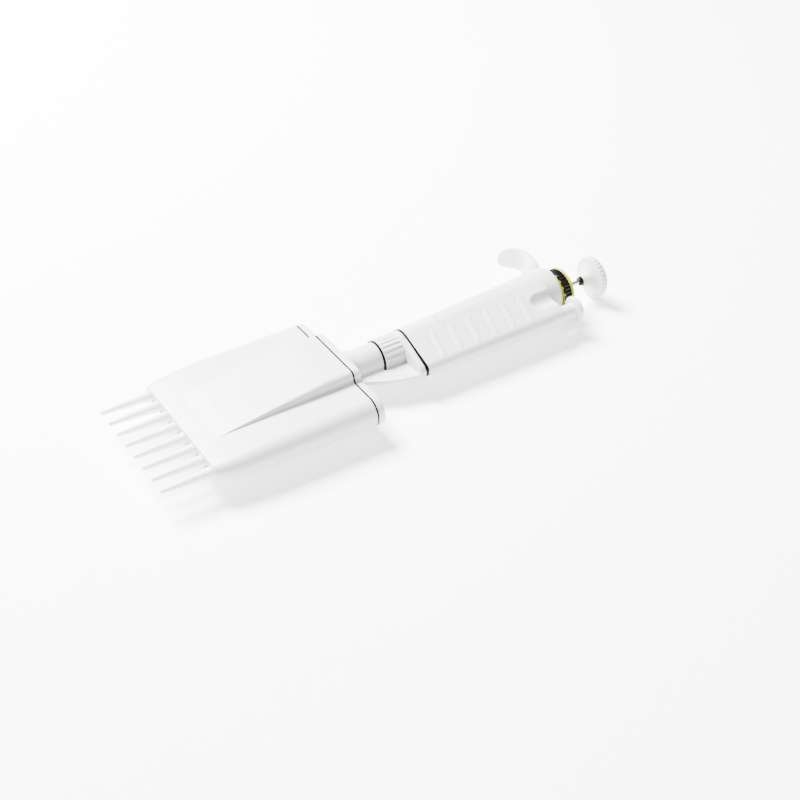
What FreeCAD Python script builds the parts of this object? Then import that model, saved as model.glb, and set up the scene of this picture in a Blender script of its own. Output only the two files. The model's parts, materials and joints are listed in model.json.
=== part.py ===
"""Eight-channel pipette, lying flat. Millimetres.

Stations run along the pipette's own axis, from the nozzle tips at 0 to the push-button's crown.
The finished frame has +X along that axis towards the push-button, +Y towards the finger hook and
+Z up, with the origin on the resting plane under the middle of the bounding box.
"""
import FreeCAD, Part
import math
import os

os.makedirs("parts", exist_ok=True)

# ---- driving dimensions -------------------------------------------------------------------------
channel_count = 8
channel_pitch = 9.0            # the standard spacing of microplate wells
overall_length = 262.0
axis_height = 12.5             # pipette axis above the resting plane
running_gap = 0.1              # radial clearance of turning and sliding fits

# ejector cover, the wide white housing of the head
cover_mouth = 24.3
cover_end = 103.8
cover_wall = 1.4
# station, half width and half thickness of the cover's flat wings
wing_sections = [
    (cover_mouth, 36.0, 4.0),
    (31.0, 38.0, 5.0),
    (42.0, 39.4, 6.1),
    (62.0, 39.9, 6.9),
    (cover_end, 40.0, 7.5),
]
bump_half_width = 18.6
bump_corner = 4.4
bump_start = 36.0              # the raised middle grows out of the wings here
bump_start_half_height = 4.9
bump_level = 92.0              # and has its full height from here to the cap
cap_bottom = 104.3
cap_top = 108.6
cap_roof = 2.0
cap_edge_round = 1.6
boss_radius = 9.2
boss_top = 112.9

# strokes
plunger_stroke = 10.7
ejector_stroke = 6.0

# nozzles and their cylinders
nozzle_tip_radius = 1.15
nozzle_land_radius = 2.0       # short parallel land that a disposable tip grips
nozzle_land_start = 13.0
nozzle_land_length = 4.0
nozzle_base_radius = 2.45
nozzle_bore = 0.6
cylinder_radius = 3.2
cylinder_bore = 2.3
piston_radius = 2.0
nozzle_flange_radius = 3.5
seal_cup_length = 4.5
nozzle_plate_bottom = 33.0
nozzle_plate_top = 37.0
cylinder_top = 59.9
seal_plate_bottom = 60.0
seal_plate_top = 63.0
carrier_bottom = 80.0
carrier_top = 85.0
frame_bottom = 92.0
frame_top = 96.5
frame_half_height = 4.2
frame_hub_radius = 9.6
post_radius = 1.6
tie_radius = 0.9               # the posts are thinner where they pass between two cylinders
post_offset = 18.0
spring_pot_offset = 27.0

# neck, coupling ring and spigot
neck_radius = 7.5
neck_bore = 5.4
neck_flange_radius = 8.05
neck_flange_bottom = 129.3
neck_top = 131.0
shaft_radius = 2.5
shaft_top = 149.6
ring_bottom = 127.3
ring_top = 142.3
ring_radius = 9.3
ring_rib_end = 139.4
ring_bore = 8.2
ring_rib_count = 24
spigot_bottom = 131.3
spigot_top = 155.0
spigot_thread_radius = 8.1
spigot_seat_radius = 6.95
spigot_bore = 4.2
spigot_eye = 1.5               # hole for the plunger rod in the spigot's closed top
spigot_floor = 151.0

# handle
handle_bottom = 143.1
bulge_end = 224.5
barrel_end = 233.0
barrel_bottom_radius = 9.8
barrel_top_radius = 12.5
barrel_top_shift = 2.0         # the barrel swells a little towards the hook
bulge_bottom_radius = 4.0
bulge_top_radius = 5.5
bulge_bottom_offset = 19.2
bulge_top_offset = 18.0
barrel_bore = 8.2
chamber_top = 177.3            # the stop washer rests under this ledge
ledge_bore = 6.2
ledge_end = 190.1
ejector_line = 18.4            # distance of the ejector rod from the pipette's axis
grip_count = 6
grip_start = 152.0
grip_pitch = 10.4
grip_radius = 0.75
plate_start = 161.0
plate_end = 208.0
plate_half_width = 3.8
plate_centre = -0.5
plate_depth = 1.0
plate_border = 0.6

# volume setting
dial_bottom = 233.5
dial_rim_start = 238.2
dial_top = 240.0
dial_radius = 11.2
screw_radius = 3.8
screw_bottom = 190.4
drum_count = 3
drum_width = 4.2
drum_radius = 7.4
drum_start = 196.0
drum_gap = 0.4
window_half_width = 4.4
window_start = 194.0
window_end = 211.4
bezel_width = 1.6

# plunger
rod_radius = 1.1
rod_bottom = 150.0
button_radius = 10.8
button_hub_bottom = 252.6
button_hub_radius = 2.9
bush_bottom = 250.9
bush_radius = 2.2
button_rim_bottom = 258.3
collar_bottom = 188.0
collar_top = 190.0
collar_radius = 5.5

# ejector
stem_radius = 3.75
flange_radius = 6.7
flange_bottom = 232.3
flange_top = 235.2
stem_bottom = 214.0
ejector_rod_radius = 1.5
spring_ledge = 190.0
arm_root_bottom = 138.6
arm_tip = 109.0
arm_screw_place = 140.4
arm_screw_radius = 0.9
fin_top = -0.5
fin_thickness = 2.2
fin_inner = 9.9
fin_neck_gap = 9.1             # the fin comes closer to the neck than to the ring

# finger hook
hook_height = 39.8
hook_half_width = 5.5
hook_root_start = 222.0
hook_root_end = 232.6
hook_outer = 241.0
hook_thickness = 4.2
hook_tip = 226.0

X_AXIS = FreeCAD.Vector(1, 0, 0)


def point(x, y=0.0, z=0.0):
    return FreeCAD.Vector(x, y, z)


def channel_offsets():
    """Distance of each channel from the middle of the head, from the near side to the hook side."""
    middle = (channel_count - 1) / 2.0
    return [(index - middle) * channel_pitch for index in range(channel_count)]


def rod(start, end, radius, y=0.0, z=0.0):
    """A cylinder along the pipette's axis."""
    return Part.makeCylinder(radius, end - start, point(start, y, z), X_AXIS)


def tube(start, end, outer, inner, y=0.0, z=0.0):
    return rod(start, end, outer, y, z).cut(rod(start - 1, end + 1, inner, y, z))


def cone(start, end, start_radius, end_radius, y=0.0, z=0.0):
    return Part.makeCone(start_radius, end_radius, end - start, point(start, y, z), X_AXIS)


def block(x0, x1, y0, y1, z0, z1):
    return Part.makeBox(x1 - x0, y1 - y0, z1 - z0, point(x0, y0, z0))


def arc(first, middle, last):
    return Part.Arc(first, middle, last).toShape()


def line(first, last):
    return Part.LineSegment(first, last).toShape()


def rounded_section(x, half_width, half_height, corner):
    """Closed rectangle with round corners across the axis at one station."""
    y = half_width - corner
    z = half_height - corner
    diagonal = corner * math.sqrt(0.5)
    edges = [
        line(point(x, -y, half_height), point(x, y, half_height)),
        arc(point(x, y, half_height), point(x, y + diagonal, z + diagonal), point(x, half_width, z)),
        line(point(x, half_width, z), point(x, half_width, -z)),
        arc(point(x, half_width, -z), point(x, y + diagonal, -z - diagonal), point(x, y, -half_height)),
        line(point(x, y, -half_height), point(x, -y, -half_height)),
        arc(point(x, -y, -half_height), point(x, -y - diagonal, -z - diagonal), point(x, -half_width, -z)),
        line(point(x, -half_width, -z), point(x, -half_width, z)),
        arc(point(x, -half_width, z), point(x, -y - diagonal, z + diagonal), point(x, -y, half_height)),
    ]
    return Part.Wire(edges)


def stadium_section(x, half_width, half_height):
    """Two straight sides joined by half circles."""
    y = half_width - half_height
    edges = [
        line(point(x, -y, half_height), point(x, y, half_height)),
        arc(point(x, y, half_height), point(x, half_width, 0), point(x, y, -half_height)),
        line(point(x, y, -half_height), point(x, -y, -half_height)),
        arc(point(x, -y, -half_height), point(x, -half_width, 0), point(x, -y, half_height)),
    ]
    return Part.Wire(edges)


def egg_section(x, big_centre, big_radius, small_centre, small_radius):
    """A big and a small circle, both on the middle plane, joined by their common tangents."""
    distance = big_centre - small_centre
    lean = math.asin((big_radius - small_radius) / distance)
    big_y = big_centre - big_radius * math.sin(lean)
    big_z = big_radius * math.cos(lean)
    small_y = small_centre - small_radius * math.sin(lean)
    small_z = small_radius * math.cos(lean)
    small_side = small_centre - small_radius
    edges = [
        arc(point(x, big_y, -big_z), point(x, big_centre + big_radius, 0), point(x, big_y, big_z)),
        line(point(x, big_y, big_z), point(x, small_y, small_z)),
        arc(point(x, small_y, small_z), point(x, small_side, 0), point(x, small_y, -small_z)),
        line(point(x, small_y, -small_z), point(x, big_y, -big_z)),
    ]
    return Part.Wire(edges)


def spring(start, end, middle_radius, wire_radius, turns, y=0.0, z=0.0):
    """Helical compression spring along the pipette's axis, with the wire as an eight-sided bar."""
    pitch = (end - start - 2 * wire_radius) / turns
    helix = Part.makeHelix(pitch, pitch * turns, middle_radius)
    sides = 8
    corners = []
    for index in range(sides + 1):
        angle = (index + 0.5) * 2.0 * math.pi / sides
        out = middle_radius + wire_radius * math.cos(angle)
        corners.append(point(out, 0, wire_radius * math.sin(angle)))
    coil = Part.Wire(helix).makePipeShell([Part.makePolygon(corners)], True, True)
    coil.rotate(point(0), FreeCAD.Vector(0, 1, 0), 90)
    coil.translate(point(start + wire_radius, y, z))
    return coil


def node(name, shape):
    """Moves a finished piece from pipette stations into the part's frame and writes it."""
    piece = shape.copy()
    piece.translate(point(-overall_length / 2.0, 0, axis_height))
    piece.exportStep("parts/" + name + ".step")
    print(name, "valid", piece.isValid(), "volume", round(piece.Volume, 1), "solids", len(piece.Solids))


# ---- handle -------------------------------------------------------------------------------------
def handle_share(x):
    """How far along the handle a station lies, from 0 at its lower end to 1 at the bulge's end."""
    return (x - handle_bottom) / (bulge_end - handle_bottom)


def barrel_radius_at(x):
    return barrel_bottom_radius + (barrel_top_radius - barrel_bottom_radius) * handle_share(x)


def barrel_centre_at(x):
    return barrel_top_shift * handle_share(x)


def bulge_radius_at(x):
    return bulge_bottom_radius + (bulge_top_radius - bulge_bottom_radius) * handle_share(x)


def bulge_centre_at(x):
    return -bulge_bottom_offset + (bulge_bottom_offset - bulge_top_offset) * handle_share(x)


def handle_section(x, grow=0.0):
    big = barrel_radius_at(x) + grow
    small = bulge_radius_at(x) + grow
    return egg_section(x, barrel_centre_at(x), big, bulge_centre_at(x), small)


def flank_line(x):
    """The straight flank of the handle's section: its two ends as (y, z)."""
    big = barrel_radius_at(x)
    small = bulge_radius_at(x)
    lean = math.asin((big - small) / (barrel_centre_at(x) - bulge_centre_at(x)))
    upper = (barrel_centre_at(x) - big * math.sin(lean), big * math.cos(lean))
    lower = (bulge_centre_at(x) - small * math.sin(lean), small * math.cos(lean))
    return upper, lower


def saddle(side):
    """Scooped valley between barrel and bulge at the top end, on one face of the handle."""
    valley_y = -13.4
    valley_z = 10.6 * side
    valley_radius = 4.6
    valley_start = 216.0
    scoop = rod(valley_start, barrel_end + 2, valley_radius, valley_y, valley_z)
    return scoop.fuse(Part.makeSphere(valley_radius, point(valley_start, valley_y, valley_z)))


def grip_bar(x, radius, lift):
    """Round bar lying across the upper flank of the handle, a little aslant."""
    upper, lower = flank_line(x)
    slope = (upper[1] - lower[1]) / (upper[0] - lower[0])
    start_y = upper[0] - 3.2
    end_y = lower[0] + 0.6
    start = point(x + 1.2, start_y, lower[1] + slope * (start_y - lower[0]) + lift)
    end = point(x - 0.6, end_y, lower[1] + slope * (end_y - lower[0]) + lift)
    direction = end.sub(start)
    bar = Part.makeCylinder(radius, direction.Length, start, direction)
    return bar.fuse([Part.makeSphere(radius, start), Part.makeSphere(radius, end)])


def plate_prism(inset):
    """Upright prism with round ends, over the label plate's place."""
    half_width = plate_half_width - inset
    x0 = plate_start + plate_half_width
    x1 = plate_end - plate_half_width
    height = 10.0
    body = block(x0, x1, plate_centre - half_width, plate_centre + half_width, 5.0, 5.0 + height)
    ends = [Part.makeCylinder(half_width, height, point(x, plate_centre, 5.0)) for x in (x0, x1)]
    return body.fuse(ends)


def window_prism(grow):
    """Upright prism over the counter's window, in the face that the handle lies on."""
    half_width = window_half_width + grow
    return block(window_start - grow, window_end + grow, -half_width, half_width, -14.0, -6.0)


def handle_body(grow):
    """The egg-shaped body from its lower end to the bulge's end, grown or shrunk all round."""
    return Part.makeLoft([handle_section(handle_bottom, grow), handle_section(bulge_end, grow)], True, True)


def handle_outside():
    body = handle_body(0.0)
    rim = [edge for edge in body.Edges if abs(edge.BoundBox.XMin - bulge_end) < 0.01]
    body = body.makeChamfer(0.7, rim)
    top_radius = barrel_radius_at(bulge_end)
    top = rod(bulge_end - 1, barrel_end, top_radius, barrel_centre_at(bulge_end))
    rim = [edge for edge in top.Edges if abs(edge.BoundBox.XMin - barrel_end) < 0.01]
    top = top.makeFillet(1.3, [edge for edge in rim if edge.BoundBox.XLength < 0.01])
    return body.fuse(top)


def handle_shell():
    shell = handle_outside()
    for side in (1, -1):
        shell = shell.cut(saddle(side))
    for index in range(grip_count):
        x = grip_start + index * grip_pitch
        shell = shell.cut(grip_bar(x, grip_radius, 0.2))
        shell = shell.fuse(grip_bar(x + 2.0, grip_radius, -0.35))
    shell = shell.cut(plate_prism(0.0).cut(handle_body(-plate_depth)))
    # the ejector button's stem needs room for its whole stroke above the spring
    stem_room = stem_bottom - ejector_stroke - 0.5
    hollows = [
        rod(handle_bottom - 1, spigot_top + 0.2, spigot_seat_radius + 0.05),
        rod(spigot_top, chamber_top, spigot_seat_radius + 0.05),
        rod(chamber_top - 0.1, ledge_end, ledge_bore),
        rod(ledge_end - 0.1, 225.9, barrel_bore),
        rod(225.8, barrel_end + 1, 9.0),
        rod(handle_bottom - 1, spring_ledge + 1, ejector_rod_radius + running_gap, -ejector_line),
        rod(spring_ledge, stem_room + 0.1, 3.3, -ejector_line),
        rod(stem_room, 221.9, stem_radius + running_gap, -ejector_line),
        rod(221.8, bulge_end + 1, stem_radius + 0.65, -ejector_line),
        window_prism(0.0),
    ]
    shell = shell.cut(Part.makeCompound(hollows))
    return shell.cut(window_prism(bezel_width).cut(handle_body(-1.25)))


def label_plate():
    """Blank pill-shaped plate let into the handle's upper face, with a raised border."""
    gap = 0.08
    border = 0.15
    plate = plate_prism(gap).common(handle_body(border)).cut(handle_body(gap - plate_depth))
    return plate.cut(plate_prism(plate_border).cut(handle_body(-border)))


def counter_window():
    """Clear pane behind the bezel, curved like the barrel."""
    return window_prism(-0.05).common(handle_body(-1.3)).cut(handle_body(-2.6))


def counter_bezel():
    """Frame round the pane, sunk a little below the barrel's surface."""
    frame = window_prism(bezel_width - 0.05).common(handle_body(-0.3)).cut(handle_body(-1.2))
    return frame.cut(window_prism(-0.6))


def finger_hook():
    """Curved rest for the index finger, growing out of the barrel's far side."""
    root_y = 10.0
    outer_edge = [
        line(point(hook_root_start, root_y), point(hook_root_end, root_y)),
        line(point(hook_root_end, root_y), point(hook_root_end, 13.5)),
        arc(point(hook_root_end, 13.5), point(238.6, 18.6), point(hook_outer, 27.0)),
        arc(point(hook_outer, 27.0), point(238.0, 37.0), point(230.5, hook_height)),
        arc(point(230.5, hook_height), point(227.0, 39.0), point(hook_tip, 36.6)),
        arc(point(hook_tip, 36.6), point(231.5, 34.9), point(hook_outer - hook_thickness, 27.0)),
        arc(point(hook_outer - hook_thickness, 27.0), point(233.4, 19.0), point(hook_root_start, 13.9)),
        line(point(hook_root_start, 13.9), point(hook_root_start, root_y)),
    ]
    face = Part.Face(Part.Wire(outer_edge))
    # the blade's width follows a rounded outline seen along the axis
    tip_arc = hook_height - hook_half_width
    outline = Part.Wire([
        line(point(200, root_y, -9.5), point(200, root_y, 9.5)),
        arc(point(200, root_y, 9.5), point(200, 19.0, 6.3), point(200, 27.0, hook_half_width)),
        line(point(200, 27.0, hook_half_width), point(200, tip_arc, hook_half_width)),
        arc(
            point(200, tip_arc, hook_half_width),
            point(200, hook_height, 0),
            point(200, tip_arc, -hook_half_width),
        ),
        line(point(200, tip_arc, -hook_half_width), point(200, 27.0, -hook_half_width)),
        arc(point(200, 27.0, -hook_half_width), point(200, 19.0, -6.3), point(200, root_y, -9.5)),
    ])
    profile = Part.Face(outline).extrude(point(60))
    wide = face.extrude(point(0, 0, 24))
    wide.translate(point(0, 0, -12))
    hook = wide.common(profile)
    # seen from the far side, the tip is a half circle
    tip_centre = hook_tip + hook_half_width
    tip_corners = block(hook_tip - 5, tip_centre, 30, 45, -15, 15)
    round_tip = Part.makeCylinder(hook_half_width, 20, point(tip_centre, 28, 0), point(0, 1, 0))
    hook = hook.cut(tip_corners.cut(round_tip))
    return hook.cut(rod(200, 250, barrel_top_radius + 0.05, barrel_centre_at(bulge_end)))


def top_bearing():
    """Black bush that carries the dial in the barrel's open end."""
    return tube(226.0, barrel_end - 0.6, 8.95, screw_radius + running_gap)


def threaded_spigot():
    lower = rod(spigot_bottom, handle_bottom - 0.5, spigot_thread_radius)
    seat = rod(handle_bottom - 0.6, spigot_top, spigot_seat_radius)
    spigot = lower.fuse(seat).cut(rod(spigot_bottom - 1, spigot_floor, spigot_bore))
    return spigot.cut(rod(spigot_floor - 1, spigot_top + 1, spigot_eye))


def return_spring():
    return spring(spigot_top + 0.2, collar_bottom - 0.1, 2.75, 0.4, 10)


def blowout_spring():
    return spring(spigot_top + 0.2, 175.6, 6.2, 0.6, 6)


def stop_washer():
    """Second stop: the collar meets it at the end of the measuring stroke."""
    return tube(175.8, collar_bottom - plunger_stroke - 0.1, spigot_seat_radius - 0.05, 3.9)


def ejector_spring():
    return spring(spring_ledge + 0.1, stem_bottom - 0.1, 2.45, 0.35, 9, -ejector_line)


def ejector_guide():
    return tube(222.0, bulge_end - 0.2, stem_radius + 0.6, stem_radius + running_gap, -ejector_line)


# ---- volume setting and plunger -----------------------------------------------------------------
def dial_rim():
    """Yellow spool: wide rim towards the button, core under the band and a thin inner lip."""
    core = rod(dial_bottom, dial_top, dial_radius - 1.1)
    rim = rod(dial_rim_start, dial_top, dial_radius)
    edges = [edge for edge in rim.Edges if abs(edge.BoundBox.XMax - dial_top) < 0.01]
    rim = rim.makeFillet(0.5, [edge for edge in edges if edge.BoundBox.XLength < 0.01])
    lip = rod(dial_bottom, dial_bottom + 0.5, dial_radius - 0.4)
    spool = core.fuse([rim, lip])
    dish = cone(dial_top - 1.6, dial_top + 0.1, 6.0, 8.6)
    return spool.cut(dish).cut(rod(dial_bottom - 1, dial_top + 1, screw_radius + 0.05))


def dial_band():
    band = tube(dial_bottom + 0.55, dial_rim_start - 0.05, dial_radius - 0.05, dial_radius - 1.05)
    ticks = []
    tick_count = 36
    for index in range(tick_count):
        notch = block(dial_bottom, dial_rim_start, -0.3, 0.3, dial_radius - 0.35, dial_radius + 1)
        notch.rotate(point(0), X_AXIS, index * 360.0 / tick_count)
        ticks.append(notch)
    return band.cut(Part.makeCompound(ticks))


def adjusting_screw():
    sleeve = rod(screw_bottom, dial_top - 2.0, screw_radius)
    return sleeve.cut(rod(screw_bottom - 1, dial_top + 1, rod_radius + running_gap))


def counter_drum(index):
    start = drum_start + index * (drum_width + drum_gap)
    return tube(start, start + drum_width, drum_radius, screw_radius + 0.08)


def plunger_rod():
    return rod(rod_bottom, 256.0, rod_radius)


def rod_collar():
    return tube(collar_bottom, collar_top, collar_radius, rod_radius + 0.02)


def button_bush():
    """Black bush that holds the button on the rod and stands a little out of its hub."""
    return tube(bush_bottom, button_hub_bottom + 3.0, bush_radius, rod_radius + 0.02)


def push_button():
    """Dished thumb button: a hub flaring into a thick knurled rim with a crowned face."""
    rim_inner = button_radius - 2.2
    profile = [
        line(point(button_hub_bottom, 0), point(button_hub_bottom, button_hub_radius)),
        arc(
            point(button_hub_bottom, button_hub_radius),
            point(button_hub_bottom + 3.9, 4.9),
            point(button_rim_bottom, rim_inner),
        ),
        line(point(button_rim_bottom, rim_inner), point(button_rim_bottom, button_radius - 0.5)),
        arc(
            point(button_rim_bottom, button_radius - 0.5),
            point(button_rim_bottom + 0.15, button_radius - 0.15),
            point(button_rim_bottom + 0.5, button_radius),
        ),
        line(point(button_rim_bottom + 0.5, button_radius), point(overall_length - 1.0, button_radius)),
        arc(
            point(overall_length - 1.0, button_radius),
            point(overall_length - 0.3, button_radius - 0.3),
            point(overall_length, button_radius - 1.2),
        ),
        arc(
            point(overall_length, button_radius - 1.2),
            point(overall_length - 0.55, 5.5),
            point(overall_length - 0.8, 1.5),
        ),
        line(point(overall_length - 0.8, 1.5), point(overall_length - 0.8, 0)),
        line(point(overall_length - 0.8, 0), point(button_hub_bottom, 0)),
    ]
    button = Part.Face(Part.Wire(profile)).revolve(point(0), X_AXIS, 360)
    button = button.cut(rod(button_hub_bottom - 1, button_hub_bottom + 3.1, bush_radius + 0.02))
    button = button.cut(rod(button_hub_bottom - 1, 256.1, rod_radius + 0.02))
    notches = []
    notch_count = 40
    for index in range(notch_count):
        notch = rod(button_rim_bottom + 0.6, overall_length - 1.1, 0.28, 0, button_radius + 0.08)
        notch.rotate(point(0), X_AXIS, index * 360.0 / notch_count)
        notches.append(notch)
    return button.cut(Part.makeCompound(notches))


# ---- tip ejector --------------------------------------------------------------------------------
def ejector_button():
    stem = rod(stem_bottom, flange_bottom + 1, stem_radius, -ejector_line)
    flange = rod(flange_bottom, flange_top, flange_radius, -ejector_line)
    flange = flange.makeFillet(1.0, [edge for edge in flange.Edges if edge.BoundBox.XLength < 0.01])
    rod_hole = rod(stem_bottom - 1, stem_bottom + 8, ejector_rod_radius + 0.02, -ejector_line)
    return stem.fuse(flange).cut(rod_hole)


def ejector_rod():
    return rod(arm_root_bottom + 2.0, stem_bottom + 7.8, ejector_rod_radius, -ejector_line)


def ejector_arm():
    """Fin that runs beside the coupling ring and pushes the head's cap, with a thick root."""
    root_section = egg_section(
        arm_root_bottom,
        barrel_centre_at(handle_bottom),
        barrel_bottom_radius,
        bulge_centre_at(handle_bottom),
        bulge_bottom_radius,
    )
    root = Part.Face(root_section).extrude(point(ring_top - arm_root_bottom))
    nose_width = 2.4
    root_width = bulge_bottom_offset + bulge_bottom_radius - 0.5
    nose_end = boss_top + 0.6
    outline = [
        line(point(arm_tip, -fin_inner), point(nose_end, -fin_inner)),
        line(point(nose_end, -fin_inner), point(nose_end + 0.6, -fin_neck_gap)),
        line(point(nose_end + 0.6, -fin_neck_gap), point(ring_bottom - 0.4, -fin_neck_gap)),
        line(point(ring_bottom - 0.4, -fin_neck_gap), point(ring_bottom, -fin_inner)),
        line(point(ring_bottom, -fin_inner), point(ring_top, -fin_inner)),
        line(point(ring_top, -fin_inner), point(ring_top, -root_width)),
        arc(point(ring_top, -root_width), point(129.5, -19.9), point(nose_end, -fin_inner - nose_width)),
        line(point(nose_end, -fin_inner - nose_width), point(arm_tip, -fin_inner - nose_width)),
        line(point(arm_tip, -fin_inner - nose_width), point(arm_tip, -fin_inner)),
    ]
    fin = Part.Face(Part.Wire(outline)).extrude(point(0, 0, -fin_thickness))
    fin.translate(point(0, 0, fin_top))
    # sloping web that leads from the thick root down to the flat fin
    web_length = 4.5
    web = Part.makeLoft([
        egg_section(arm_root_bottom - web_length, -17.0, 2.6, -19.0, 2.2),
        egg_section(arm_root_bottom + 0.1, -13.0, 7.0, bulge_centre_at(handle_bottom), bulge_bottom_radius),
    ], True, True)
    arm = root.fuse([fin, web])
    arm = arm.cut(rod(ring_bottom, 150, fin_inner))
    arm = arm.cut(Part.makeCylinder(arm_screw_radius + 0.05, 5, point(arm_screw_place, -ejector_line, -6.4)))
    return arm.cut(rod(arm_root_bottom + 1.9, ring_top + 1, ejector_rod_radius + 0.02, -ejector_line))


def arm_screw():
    """Small grub screw that pins the arm to the rod, from the underside."""
    return Part.makeCylinder(arm_screw_radius, 2.1, point(arm_screw_place, -ejector_line, -3.7))


# ---- coupling ring ------------------------------------------------------------------------------
def coupling_ring():
    """Ribbed nut that holds the head's neck to the handle."""
    ring = rod(ring_bottom, ring_top, ring_radius)
    lower_edge = [edge for edge in ring.Edges if abs(edge.BoundBox.XMax - ring_bottom) < 0.01]
    ring = ring.makeFillet(0.5, lower_edge)
    grooves = []
    for index in range(ring_rib_count):
        groove = rod(ring_bottom + 1.2, ring_rib_end, 0.55, 0, ring_radius + 0.15)
        groove.rotate(point(0), X_AXIS, (index + 0.5) * 360.0 / ring_rib_count)
        grooves.append(groove)
    ring = ring.cut(Part.makeCompound(grooves))
    ring = ring.cut(rod(ring_bottom - 1, ring_bottom + 2, neck_radius + running_gap))
    return ring.cut(rod(ring_bottom + 1.5, ring_top + 1, ring_bore))


# ---- head ---------------------------------------------------------------------------------------
def neck_tube():
    tube_body = rod(frame_bottom, neck_top, neck_radius)
    flange = rod(neck_flange_bottom, neck_top, neck_flange_radius)
    foot = rod(frame_bottom - 1.5, frame_bottom, neck_radius + 1.5)
    neck = tube_body.fuse([flange, foot])
    neck = neck.cut(rod(frame_bottom - 3, neck_top + 1, shaft_radius + running_gap))
    return neck.cut(rod(frame_bottom + 4, neck_top - 4, neck_bore))


def neck_washer():
    return tube(boss_top + 0.4, boss_top + 1.3, 8.5, neck_radius + 0.02)


def carrier_spring():
    return spring(frame_bottom + 4.2, 118.0, 4.3, 0.45, 9)


def head_frame():
    plate = block(frame_bottom, frame_top, -34.0, 34.0, -frame_half_height, frame_half_height)
    hub = rod(frame_bottom, frame_top + 0.8, frame_hub_radius)
    body = plate.fuse(hub)
    for side in (1, -1):
        pot_y = side * spring_pot_offset
        body = body.fuse(rod(frame_bottom - 4.0, frame_bottom + 1, 4.2, pot_y))
        body = body.cut(rod(frame_bottom - 2.8, frame_top + 1, 3.3, pot_y))
        body = body.cut(rod(frame_bottom - 1, frame_top + 1, 1.1, side * post_offset))
    return body.cut(rod(frame_bottom - 1, frame_top + 2, neck_radius + 0.05))


def frame_screws():
    screws = []
    for side in (1, -1):
        head = rod(frame_top, frame_top + 1.2, 2.1, side * post_offset)
        slot = block(frame_top + 0.6, frame_top + 2, -0.3, 0.3, -3, 3)
        slot.translate(point(0, side * post_offset))
        thread = rod(frame_bottom - 3.0, frame_top + 0.1, 1.0, side * post_offset)
        screws.append(head.fuse(thread).cut(slot))
    return Part.makeCompound(screws)


def guide_posts():
    """Posts that guide the piston carrier; their thin lower ends tie the two plates together."""
    posts = []
    for side in (1, -1):
        y = side * post_offset
        tie = rod(nozzle_plate_top + 0.02, seal_plate_top + 1, tie_radius, y)
        post = rod(seal_plate_top + 0.02, frame_bottom - 0.02, post_radius, y).fuse(tie)
        posts.append(post.cut(rod(frame_bottom - 3.2, frame_bottom + 1, 1.02, y)))
    return Part.makeCompound(posts)


def plate_with_holes(x0, x1, half_width, half_height, hole_radius):
    outline = rounded_section(x0, half_width, half_height, half_height - 0.4)
    plate = Part.Face(outline).extrude(point(x1 - x0))
    holes = [rod(x0 - 1, x1 + 1, hole_radius, y) for y in channel_offsets()]
    return plate.cut(Part.makeCompound(holes))


def nozzle_plate():
    return plate_with_holes(nozzle_plate_bottom, nozzle_plate_top, 36.2, 3.5, cylinder_radius + 0.05)


def seal_plate():
    plate = plate_with_holes(seal_plate_bottom, seal_plate_top, 36.4, 4.4, piston_radius + running_gap)
    for y in (post_offset, -post_offset):
        plate = plate.cut(rod(seal_plate_bottom - 1, seal_plate_top + 1, tie_radius + 0.02, y))
    return plate


def nozzle(y):
    """One channel: tapered nozzle, cylinder, locating flange and seal cup, in one moulding."""
    land_end = nozzle_land_start + nozzle_land_length
    outside = [
        cone(0.0, nozzle_land_start, nozzle_tip_radius, nozzle_land_radius, y),
        rod(nozzle_land_start, land_end, nozzle_land_radius, y),
        cone(land_end, cover_mouth, nozzle_land_radius + 0.12, nozzle_base_radius, y),
        rod(cover_mouth, 30.0, nozzle_base_radius, y),
        cone(30.0, 31.5, nozzle_base_radius, cylinder_radius, y),
        rod(31.5, cylinder_top, cylinder_radius, y),
        rod(nozzle_plate_top + 0.02, nozzle_plate_top + 1.5, nozzle_flange_radius, y),
        rod(cylinder_top - seal_cup_length, cylinder_top, nozzle_flange_radius, y),
    ]
    body = outside[0].fuse(outside[1:])
    hollow = [
        rod(-1, 33.0, nozzle_bore, y),
        rod(32.5, cylinder_top + 1, cylinder_bore, y),
        rod(cylinder_top - 2.4, cylinder_top + 1, 3.1, y),
    ]
    return body.cut(hollow[0].fuse(hollow[1:]))


def piston_seals():
    seals = []
    for y in channel_offsets():
        seals.append(tube(cylinder_top - 2.35, cylinder_top - 0.05, 3.05, piston_radius + 0.02, y))
    return Part.makeCompound(seals)


# ---- piston drive -------------------------------------------------------------------------------
def drive_shaft():
    shaft = rod(carrier_bottom + 1.5, shaft_top, shaft_radius)
    collar = rod(118.2, 120.0, neck_bore - 0.3)
    return shaft.fuse(collar)


def piston_carrier():
    bar = plate_with_holes(carrier_bottom, carrier_top, 35.6, 4.6, 1.22)
    for y in (post_offset, -post_offset):
        bar = bar.cut(rod(carrier_bottom - 1, carrier_top + 1, post_radius + running_gap, y))
    return bar.cut(rod(carrier_bottom + 1.48, carrier_top + 1, shaft_radius + 0.02))


def piston(y):
    stem = rod(carrier_bottom - 0.5, carrier_top - 1.0, 1.2, y)
    return rod(46.0, carrier_bottom - 0.02, piston_radius, y).fuse(stem)


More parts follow.
